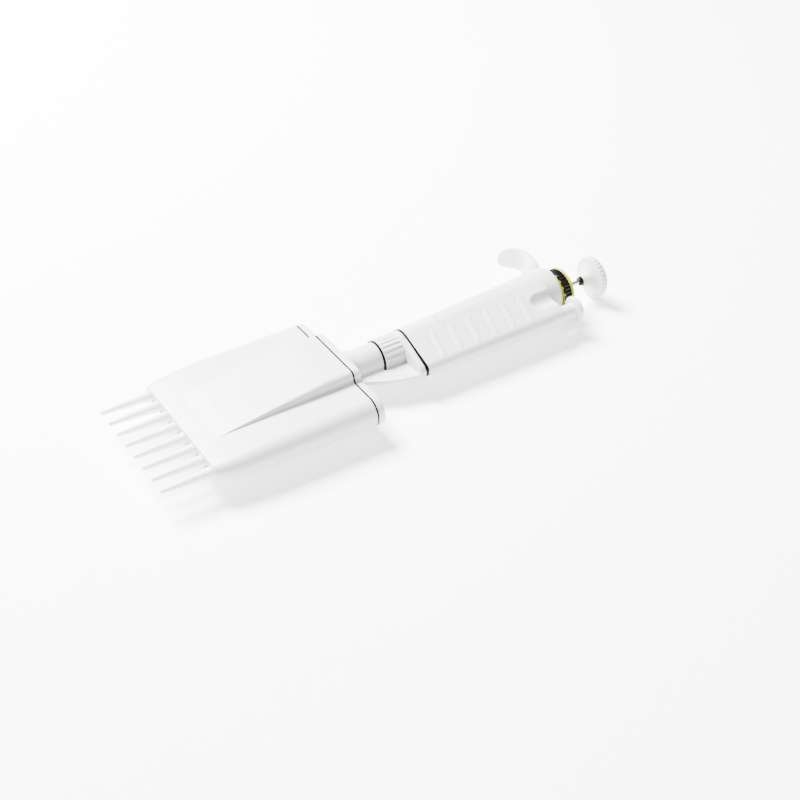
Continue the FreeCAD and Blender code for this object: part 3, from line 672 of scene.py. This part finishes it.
def grip_height(x, y, upper_y, lower_y, sizes):
    """Shallow grip lines across the flank, each a fine groove with a soft ridge beside it."""
    total = 0.0
    start_y = upper_y - 3.2
    end_y = lower_y + 0.6
    along = (start_y - y) / (start_y - end_y)
    fade = max(0.0, min(1.0, (along + 0.03) / 0.08)) * max(0.0, min(1.0, (1.03 - along) / 0.08))
    if fade <= 0.0:
        return 0.0
    for index in range(GRIP_COUNT):
        line = GRIP_START + GRIP_SPACING * index + 1.2 - 1.8 * along
        total -= sizes.grip_depth / MM * bell(x - line, 0.3)
        total += sizes.grip_ridge / MM * bell(x - line - 2.5, 0.9)
    return total * fade


def handle_ring(x, inset, sizes, details=True):
    """Outline of the handle: barrel arc, flank, bulge arc and flank; past the bulge, the barrel alone."""
    big_centre, big, small_centre, small = handle_sizes(x)
    slope = math.degrees(math.asin((big - small) / (big_centre - small_centre)))
    barrel = (big_centre, 0.0)
    if x > BULGE_END:
        rest = 2 * FLANK_POINTS + SMALL_POINTS
        points = arc_points(barrel, big - inset, -90 - slope, 90 + slope, BIG_POINTS)
        points += arc_points(barrel, big - inset, 90 + slope, 270 - slope, rest)
        return [at(x, y, z) for y, z in points]
    points = arc_points(barrel, big, -90 - slope, 90 + slope, BIG_POINTS)
    normal = (math.cos(math.radians(90 + slope)), math.sin(math.radians(90 + slope)))
    upper = (big_centre + big * normal[0], big * normal[1])
    lower = (small_centre + small * normal[0], small * normal[1])
    inset_lower = (lower[0] - inset * normal[0], lower[1] - inset * normal[1])
    flank = run_points(upper, inset_lower, FLANK_POINTS)
    bulge = arc_points((small_centre, 0.0), small - inset, 90 + slope, 270 - slope, SMALL_POINTS)
    bulge.append((inset_lower[0], -inset_lower[1]))
    if details:
        shaped = []
        for y, z in flank:
            lift = grip_height(x, y, upper[0], lower[0], sizes)
            shaped.append((y + lift * normal[0], scooped(x, y, z + lift * normal[1], sizes)))
        flank = shaped
        bulge = [(y, math.copysign(scooped(x, y, abs(z), sizes), z)) for y, z in bulge]
    back = [(y, -z) for y, z in reversed(flank)]
    points += flank + bulge + back[:-1]
    return [at(x, y, z) for y, z in points]


def handle_rings(sizes):
    """The handle's outlines from its foot, over the end of the ejector's bulge, to the barrel's end."""
    outline = partial(handle_ring, sizes=sizes)
    rings = []
    for inset, ahead in ((0.45, 0.0), (0.16, 0.07), (0.0, 0.35)):
        rings.append(outline(HANDLE_START + ahead, inset, details=False))
    x = HANDLE_START + 1.2
    while x < BULGE_END - 1.4:
        rings.append(outline(x, 0.0))
        x += 0.25 if FINE_FROM < x < FINE_TO else 0.55
    rings += rounded_end(BULGE_END, END_ROUND, outline)
    rings.append(outline(BULGE_END + 1e-6, 0.0))
    rings += rounded_end(BARREL_END, END_ROUND, outline)
    return rings


def pill_mesh(grow, depth, top):
    """Upright prism with round ends over the label's place; its floor follows the barrel's taper."""
    half = (PLATE_END - PLATE_START) / 2.0 + grow
    radius = LABEL_HALF_WIDTH + grow
    centre = (PLATE_START + PLATE_END) / 2.0
    outline = []
    for side, angle in ((1, -90), (-1, 90)):
        middle = centre + side * (half - radius)
        for step in range(LABEL_STEPS + 1):
            turned = math.radians(angle + 180.0 * step / LABEL_STEPS)
            outline.append((middle + radius * math.cos(turned), radius * math.sin(turned)))
    rings = []
    for level in (0, 1):
        ring = []
        for x, y in outline:
            floor = handle_sizes(x)[1] - depth
            ring.append(at(x, y - 0.5, top if level else floor))
        rings.append(ring)
    bm = bmesh.new()
    loft(bm, rings)
    close_ends(bm)
    return as_mesh(bm, "pill")


def slab_mesh(x0, x1, y0, y1, z0, z1):
    """A block between two corners."""
    centre = (at(x0, y0, z0) + at(x1, y1, z1)) / 2.0
    size = at(x1, y1, z1) - at(x0, y0, z0)
    bm = bmesh.new()
    bmesh.ops.create_cube(bm, size=1.0, matrix=Matrix.Translation(centre) @ Matrix.Diagonal((*size, 1.0)))
    return as_mesh(bm, "slab")


def gap_at(place):
    """Width of the shadow gap under the handle, which opens a little round the ejector's bulge."""
    _, arm_end = node_span("ejector_arm")
    share = min(1.0, max(0.0, (-8.0 - place / MM) / 12.0))
    narrow = HANDLE_START - arm_end + 0.4
    return narrow + 0.5 * share


class PIPETTE_OT_handle(bpy.types.Operator):
    """Handle shell with its barrel, ejector bulge, saddle, grip lines, bores and the label plate"""

    bl_idname = "pipette.handle"
    bl_label = "Handle"

    def execute(self, context):
        sizes = context.scene.pipette_sizes
        bm = bmesh.new()
        loft(bm, handle_rings(sizes))
        close_ends(bm)
        outside = as_mesh(bm, "handle_outside")
        above = 16.0
        plate = carve(outside.copy(), pill_mesh(-sizes.label_gap / MM, 0.9, above), "INTERSECT")
        finished("label_face", plate, "plate_film", "handle", ["label_plate"], sharp=50)
        shell = carve(outside, pill_mesh(0.0, 1.0, above))
        shell = carve(shell, self.bores())
        shell = carve(shell, self.stem_bore())
        window = slab_mesh(194.0, 211.4, -4.4, 4.4, -14.0, -6.0)
        shell = carve(shell, window)
        finished("handle_skin", shell, "white_abs", "handle", ["handle_shell"], sharp=50)
        self.gap_shadow(sizes)
        return {"FINISHED"}

    def bores(self):
        """The barrel's bore, wider for the counter drums and again for the dial."""
        below = HANDLE_START - 1
        above = BARREL_END + 1
        dial_start = 225.9
        profile = [(below, 0.0), (below, 7.0), (STEM_BORE_START, 7.0), (STEM_BORE_START, 8.2)]
        profile += [(dial_start, 8.2), (dial_start, 9.0), (above, 9.0), (above, 0.0)]
        bm = bmesh.new()
        turn(bm, profile, steps=72)
        return as_mesh(bm, "bores")

    def stem_bore(self):
        """The ejector rod's bore, stepped out for its spring, its button and its guide."""
        below = HANDLE_START - 1
        above = BULGE_END + 1
        spring_end = 207.0
        guide_start = 221.9
        profile = [(below, 0.0), (below, 1.6), (STEM_BORE_START, 1.6), (STEM_BORE_START, 3.3)]
        profile += [(spring_end, 3.3), (spring_end, 3.85), (guide_start, 3.85), (guide_start, 4.4)]
        profile += [(above, 4.4), (above, 0.0)]
        bm = bmesh.new()
        turn(bm, profile, EJECTOR_LINE, steps=64)
        return as_mesh(bm, "stem")

    def gap_shadow(self, sizes):
        """Thin black piece that paints the shadow in the gap between the handle's foot and the ejector arm.
        """
        edge = handle_ring(HANDLE_START, 0.1, sizes, False)
        far_edge = [point - Vector((gap_at(point.y) * MM - 0.05 * MM, 0, 0)) for point in edge]
        bm = bmesh.new()
        loft(bm, [far_edge, edge])
        close_ends(bm)
        bore = bmesh.new()
        below = HANDLE_START - 2
        above = HANDLE_START + 1
        turn(bore, [(below, 0.0), (below, 8.2), (above, 8.2), (above, 0.0)])
        gap_shadow = carve(as_mesh(bm, "gap_shadow"), as_mesh(bore, "bore"))
        # painted shadow: a black piece where the gap only has shade
        finished("handle_gap_shadow", gap_shadow, "black_plastic", "handle", sharp=50)


HOOK_PATH = [
    # station, distance from the axis, half thickness, half width
    (227.0, 9.8, 6.2, 8.8),
    (231.2, 14.2, 5.2, 7.7),
    (235.0, 18.6, 4.0, 6.9),
    (237.6, 23.4, 2.9, 6.4),
    (238.6, 28.6, 2.4, 6.2),
    (237.8, 33.4, 2.2, 6.2),
    (235.2, 36.9, 2.0, 6.0),
    (231.9, 38.8, 1.7, 5.2),
    (229.6, 39.4, 1.2, 3.9),
    (228.4, 39.6, 0.7, 1.9),
]


def between(points, share):
    """Smooth curve through a list of points, at a share of its length from 0 to 1."""
    spans = len(points) - 1
    place = min(share * spans, spans - 1e-9)
    index = int(place)
    t = place - index
    before = points[max(index - 1, 0)]
    after = points[min(index + 2, spans)]
    result = []
    for p0, p1, p2, p3 in zip(before, points[index], points[index + 1], after):
        bend = (2 * p0 - 5 * p1 + 4 * p2 - p3) * t * t
        twist = (3 * p1 - p0 - 3 * p2 + p3) * t ** 3
        result.append(0.5 * (2 * p1 + (p2 - p0) * t + bend + twist))
    return result


class PIPETTE_OT_hook(bpy.types.Operator):
    """Spoon-shaped finger hook that grows out of the barrel"""

    bl_idname = "pipette.hook"
    bl_label = "Finger hook"

    def execute(self, context):
        rings = []
        steps = 72
        points = 48
        for step in range(steps + 1):
            share = step / steps
            x, y, thick, wide = between(HOOK_PATH, share)
            ahead = between(HOOK_PATH, min(1.0, share + 0.01))
            behind = between(HOOK_PATH, max(0.0, share - 0.01))
            run = Vector((ahead[0] - behind[0], ahead[1] - behind[1])).normalized()
            outward = Vector((run.y, -run.x))
            hollow = 1.3 * min(1.0, share * 2.5)
            ring = []
            for index in range(points):
                angle = FULL_TURN * index / points
                across = math.copysign(abs(math.cos(angle)) ** 0.6, math.cos(angle)) * wide
                out = math.copysign(abs(math.sin(angle)) ** 0.75, math.sin(angle)) * thick
                if out < 0.0:
                    out += hollow * (1.0 - (across / wide) ** 2)
                ring.append(at(x + outward.x * out, y + outward.y * out, across))
            rings.append(ring)
        bm = bmesh.new()
        loft(bm, rings)
        close_ends(bm)
        finished("finger_hook_skin", as_mesh(bm, "hook"), "white_abs", "handle", ["finger_hook"], sharp=60)
        return {"FINISHED"}


# ---- dial, button and ejector -----------------------------------------------------------------------
class PIPETTE_OT_dial(bpy.types.Operator):
    """Yellow dial spool with the ribbed black band round it"""

    bl_idname = "pipette.dial"
    bl_label = "Volume dial"

    def execute(self, context):
        start, end = node_span("dial_rim")
        bore = 3.85
        profile = [
            (start, bore), (start, 10.5), (start + 0.9, 10.7), (start + 0.9, 10.1),
            (end - 1.8, 10.1), (end - 1.8, 11.2), (end - 0.45, 11.2), (end, 10.7),
            (end, 8.6), (end - 1.5, 6.2), (end - 1.5, bore),
        ]
        bm = bmesh.new()
        turn(bm, profile, closed=True, steps=128)
        soften(bm, 0.16)
        finished("dial_spool", as_mesh(bm, "dial"), "yellow_plastic", "volume_dial", ["dial_rim"])
        self.grip(start, end)
        return {"FINISHED"}

    def grip(self, start, end):
        """The black band: fine ribs round it, and square teeth on its handle side."""
        ribs = 36
        points_per_rib = 8
        outline = [
            # station, radius, depth of the flutes
            (start + 0.95, 10.15, 0.0), (start + 0.95, 10.9, 0.0), (start + 1.2, 11.15, 0.3),
            (start + 1.5, 11.15, 0.45), (end - 2.1, 11.15, 0.45),
            (end - 1.85, 11.1, 0.3), (end - 1.85, 10.15, 0.0),
        ]
        count = ribs * points_per_rib
        rings = [circle_ring(x, r, count, flute=depth, flutes=ribs, sharpness=2.0) for x, r, depth in outline]
        rings.append(rings[0])
        band = bmesh.new()
        loft(band, rings)
        teeth = 18
        tooth_radius = 10.7
        size = Matrix.Diagonal((1.2 * MM, 2.6 * MM, 0.5 * MM, 1.0))
        out = Matrix.Translation(Vector((at(start + 0.7).x - at(0).x, 0, tooth_radius * MM)))
        for index in range(teeth):
            turned = Matrix.Rotation(FULL_TURN * index / teeth, 4, "X")
            place = Matrix.Translation(at(0)) @ turned @ out
            bmesh.ops.create_cube(band, size=1.0, matrix=place @ size)
        finished("dial_grip", as_mesh(band, "band"), "black_plastic", "volume_dial", ["dial_band"])


class PIPETTE_OT_button(bpy.types.Operator):
    """Push-button: a hub that flares into a thick scalloped rim, with its black bush"""

    bl_idname = "pipette.button"
    bl_label = "Push-button"

    def execute(self, context):
        start, end = node_span("push_button")
        rim = end - 3.7
        notches = 32
        points_per_notch = 8
        hub = [(3.2, 2.22), (0.6, 2.22), (0.1, 2.35), (0.0, 2.6), (0.1, 2.85), (0.5, 3.05)]
        flare = [(1.4, 3.35), (2.6, 3.9), (3.6, 4.7), (4.4, 5.8)]
        flare += [(5.0, 7.0), (5.4, 8.1), (5.65, 8.9), (5.7, 9.6)]
        edge = [(0.02, 10.2, 0.1), (0.2, 10.6, 0.3), (0.55, 10.78, 0.4), (1.0, 10.8, 0.4)]
        shoulder = [(1.3, 10.8, 0.4), (0.8, 10.7, 0.3), (0.3, 10.3, 0.1), (0.0, 9.6, 0.0)]
        crown = [(0.12, 8.6), (0.45, 6.0), (0.7, 3.0), (0.78, 0.8)]
        # station, radius, depth of the notches
        outline = [(start + ahead, radius, 0.0) for ahead, radius in hub + flare]
        outline += [(rim + ahead, radius, depth) for ahead, radius, depth in edge]
        outline += [(end - behind, radius, depth) for behind, radius, depth in shoulder]
        outline += [(end - behind, radius, 0.0) for behind, radius in crown]
        count = notches * points_per_notch
        rings = []
        for x, radius, depth in outline:
            rings.append(circle_ring(x, radius, count, flute=depth, flutes=notches, sharpness=3.0))
        bm = bmesh.new()
        loft(bm, rings)
        close_ends(bm)
        button = as_mesh(bm, "button")
        finished("push_button_skin", button, "polished_abs", "plunger", ["push_button"])
        first, last = node_span("button_bush")
        rod = 1.12
        profile = [(first, rod), (first, 1.9), (first + 0.35, 2.2), (last, 2.2), (last, rod)]
        bush = bmesh.new()
        turn(bush, profile, closed=True, steps=64)
        finished("button_bush_skin", as_mesh(bush, "bush"), "black_plastic", "plunger", ["button_bush"])
        return {"FINISHED"}


class PIPETTE_OT_ejector(bpy.types.Operator):
    """Ejector button with its stem"""

    bl_idname = "pipette.ejector"
    bl_label = "Tip ejector"

    def execute(self, context):
        start, end = node_span("ejector_button")
        rod = 1.52
        stem = 3.75
        hollow_end = start + 8.0
        profile = [(start, rod), (start, stem), (end - 3.0, stem), (end - 2.9, 5.7), (end - 2.4, 6.5)]
        profile += [(end - 1.6, 6.7), (end - 0.9, 6.65), (end - 0.25, 6.1), (end, 5.2), (end - 0.1, 3.0)]
        profile += [(end - 0.15, 0.4), (hollow_end, 0.4), (hollow_end, rod)]
        bm = bmesh.new()
        turn(bm, profile, EJECTOR_LINE, closed=True)
        soften(bm, 0.15)
        button = as_mesh(bm, "ejector")
        nodes = ["ejector_button"]
        finished("ejector_button_skin", button, "polished_abs", "ejector", nodes)
        return {"FINISHED"}


class PIPETTE_OT_arm(bpy.types.Operator):
    """Ejector arm: a thick root behind the coupling ring, and a flat fin down to the head's cap"""

    bl_idname = "pipette.arm"
    bl_label = "Ejector arm"

    def execute(self, context):
        sizes = context.scene.pipette_sizes
        tip, end = node_span("ejector_arm")
        start = end - 3.7
        section = handle_ring(HANDLE_START, 0.0, sizes, False)
        tucked = handle_ring(HANDLE_START, 0.25, sizes, False)
        rings = [shifted(tucked, start - HANDLE_START), shifted(section, start + 0.25 - HANDLE_START)]
        for behind, ring in ((0.25, section), (0.0, tucked)):
            rings.append([point - Vector(((gap_at(point.y) + behind) * MM, 0, 0)) for point in ring])
        root = bmesh.new()
        loft(root, rings)
        close_ends(root)
        arm = carve(as_mesh(root, "root"), self.fin(tip, end), "UNION")
        bore_start = 127.3
        bore_end = 150.0
        bore_radius = 9.9
        bore = bmesh.new()
        turn(bore, [(bore_start, 0.0), (bore_start, bore_radius), (bore_end, bore_radius), (bore_end, 0.0)])
        arm = carve(arm, as_mesh(bore, "bore"))
        finished("ejector_arm_skin", arm, "white_abs", "ejector", ["ejector_arm"], sharp=40)
        return {"FINISHED"}

    def fin(self, tip, end):
        """The flat fin: straight beside the neck, curved on its outer edge."""
        lower = end - 1.5
        outline = [(tip, -12.3), (tip, -9.9), (113.5, -9.9), (114.1, -9.1), (126.9, -9.1), (127.3, -9.9)]
        outline += [(lower, -9.9), (lower, -22.1), (140.0, -22.0), (137.0, -21.6), (133.0, -20.8)]
        outline += [(129.0, -19.7), (125.0, -18.3), (121.0, -16.5)]
        outline += [(117.0, -14.3), (114.4, -12.7), (112.6, -12.3)]
        bm = bmesh.new()
        loft(bm, [[at(x, y, z) for x, y in outline] for z in (-0.5, -2.7)])
        close_ends(bm)
        soften(bm, 0.45, angle=60.0)
        return as_mesh(bm, "fin")


class PIPETTE_OT_carried_over(bpy.types.Operator):
    """Gives every CAD node the finish its record slot names, but for the neck washer"""

    bl_idname = "pipette.carried_over"
    bl_label = "Inner parts"

    def execute(self, context):
        slots = {part["node"]: part["material_slot"] for part in frame["record"]["subparts"]}
        # the washer shows as a white step on the neck
        slots["neck_washer"] = "white_abs"
        for name, piece in frame["nodes"].items():
            piece.data.materials.clear()
            piece.data.materials.append(MATERIALS[slots[name]])
        return {"FINISHED"}


# ---- stage ------------------------------------------------------------------------------------------
FLOOR_GLOW = 1.6
ROOM_LIGHT = 0.6
LAMPS = (
    # name, place in metres, size in metres, power in watts
    ("key", (-0.2, 0.7, 0.9), 0.5, 150.0),
    ("fill", (-0.7, -0.5, 0.7), 0.8, 5.0),
)
CAMERA_AZIMUTH = math.radians(32.903)
CAMERA_ELEVATION = math.radians(38.388)
CAMERA_ROLL = math.radians(0.25)
CAMERA_DISTANCE = 0.6413
CAMERA_AIM = Vector((-0.01097, -0.03311, AXIS_HEIGHT))
CAMERA_LENS = 62.62


class PIPETTE_OT_stage(bpy.types.Operator):
    """Pale floor, soft lights and the camera"""

    bl_idname = "pipette.stage"
    bl_label = "Stage"

    def execute(self, context):
        self.floor(context.scene)
        self.lights(context.scene)
        self.camera(context.scene)
        return {"FINISHED"}

    def floor(self, scene):
        bm = bmesh.new()
        bmesh.ops.create_grid(bm, x_segments=1, y_segments=1, size=4.0)
        mesh = bpy.data.meshes.new("floor")
        bm.to_mesh(mesh)
        bm.free()
        # matt board that glows a little, so that it stays paler than the plastic
        board = moulded("pale_matt_board", "FFFFFF", 0.9, 0.5, 0.01, 0.01, 0.0)
        shader = board.node_tree.nodes["Principled BSDF"]
        shader.inputs["Emission Color"].default_value = (1.0, 1.0, 1.0, 1.0)
        shader.inputs["Emission Strength"].default_value = FLOOR_GLOW
        mesh.materials.append(board)
        ground = bpy.data.objects.new("floor", mesh)
        scene.collection.objects.link(ground)

    def lights(self, scene):
        world = bpy.data.worlds.new("studio")
        world.use_nodes = True
        background = world.node_tree.nodes["Background"]
        background.inputs["Color"].default_value = (1.0, 1.0, 1.0, 1.0)
        background.inputs["Strength"].default_value = ROOM_LIGHT
        scene.world = world
        for name, place, size, power in LAMPS:
            lamp = bpy.data.lights.new(name, "AREA")
            lamp.size = size
            lamp.energy = power
            light = bpy.data.objects.new(name, lamp)
            light.location = place
            light.rotation_euler = (-Vector(place)).to_track_quat("-Z", "Y").to_euler()
            scene.collection.objects.link(light)

    def camera(self, scene):
        looking = Vector((
            math.sin(CAMERA_AZIMUTH) * math.cos(CAMERA_ELEVATION),
            math.cos(CAMERA_AZIMUTH) * math.cos(CAMERA_ELEVATION),
            -math.sin(CAMERA_ELEVATION),
        ))
        lens = bpy.data.cameras.new("camera")
        lens.lens = CAMERA_LENS
        lens.clip_start = 0.01
        camera = bpy.data.objects.new("camera", lens)
        camera.location = CAMERA_AIM - looking * CAMERA_DISTANCE
        roll = Quaternion((0.0, 0.0, 1.0), CAMERA_ROLL)
        camera.rotation_euler = (looking.to_track_quat("-Z", "Y") @ roll).to_euler()
        scene.collection.objects.link(camera)
        scene.camera = camera


STEPS = (
    PIPETTE_OT_carried_over,
    PIPETTE_OT_nozzles,
    PIPETTE_OT_cover,
    PIPETTE_OT_cap,
    PIPETTE_OT_neck,
    PIPETTE_OT_ring,
    PIPETTE_OT_handle,
    PIPETTE_OT_hook,
    PIPETTE_OT_dial,
    PIPETTE_OT_button,
    PIPETTE_OT_ejector,
    PIPETTE_OT_arm,
    PIPETTE_OT_stage,
)


class PIPETTE_PT_panel(bpy.types.Panel):
    """Lists the pipette's pieces"""

    bl_idname = "PIPETTE_PT_panel"
    bl_label = "Pipette"
    bl_space_type = "VIEW_3D"
    bl_region_type = "UI"
    bl_category = "Pipette"

    def draw(self, context):
        for group in (context.scene.pipette_sizes, context.scene.pipette_colours):
            for key in group.bl_rna.properties.keys():
                if key not in ("rna_type", "name"):
                    self.layout.prop(group, key)
        for step in STEPS:
            self.layout.operator(step.bl_idname)


CLASSES = (PipetteColours, PipetteSizes, *STEPS, PIPETTE_PT_panel)


def register():
    for item in CLASSES:
        bpy.utils.register_class(item)
    bpy.types.Scene.pipette_colours = bpy.props.PointerProperty(type=PipetteColours)
    bpy.types.Scene.pipette_sizes = bpy.props.PointerProperty(type=PipetteSizes)


def unregister():
    del bpy.types.Scene.pipette_sizes
    del bpy.types.Scene.pipette_colours
    for item in reversed(CLASSES):
        bpy.utils.unregister_class(item)


def main():
    register()
    MATERIALS.update(make_materials(bpy.context.scene.pipette_colours))
    for step in STEPS:
        group, name = step.bl_idname.split(".")
        getattr(getattr(bpy.ops, group), name)()


if __name__ == "__main__":
    main()
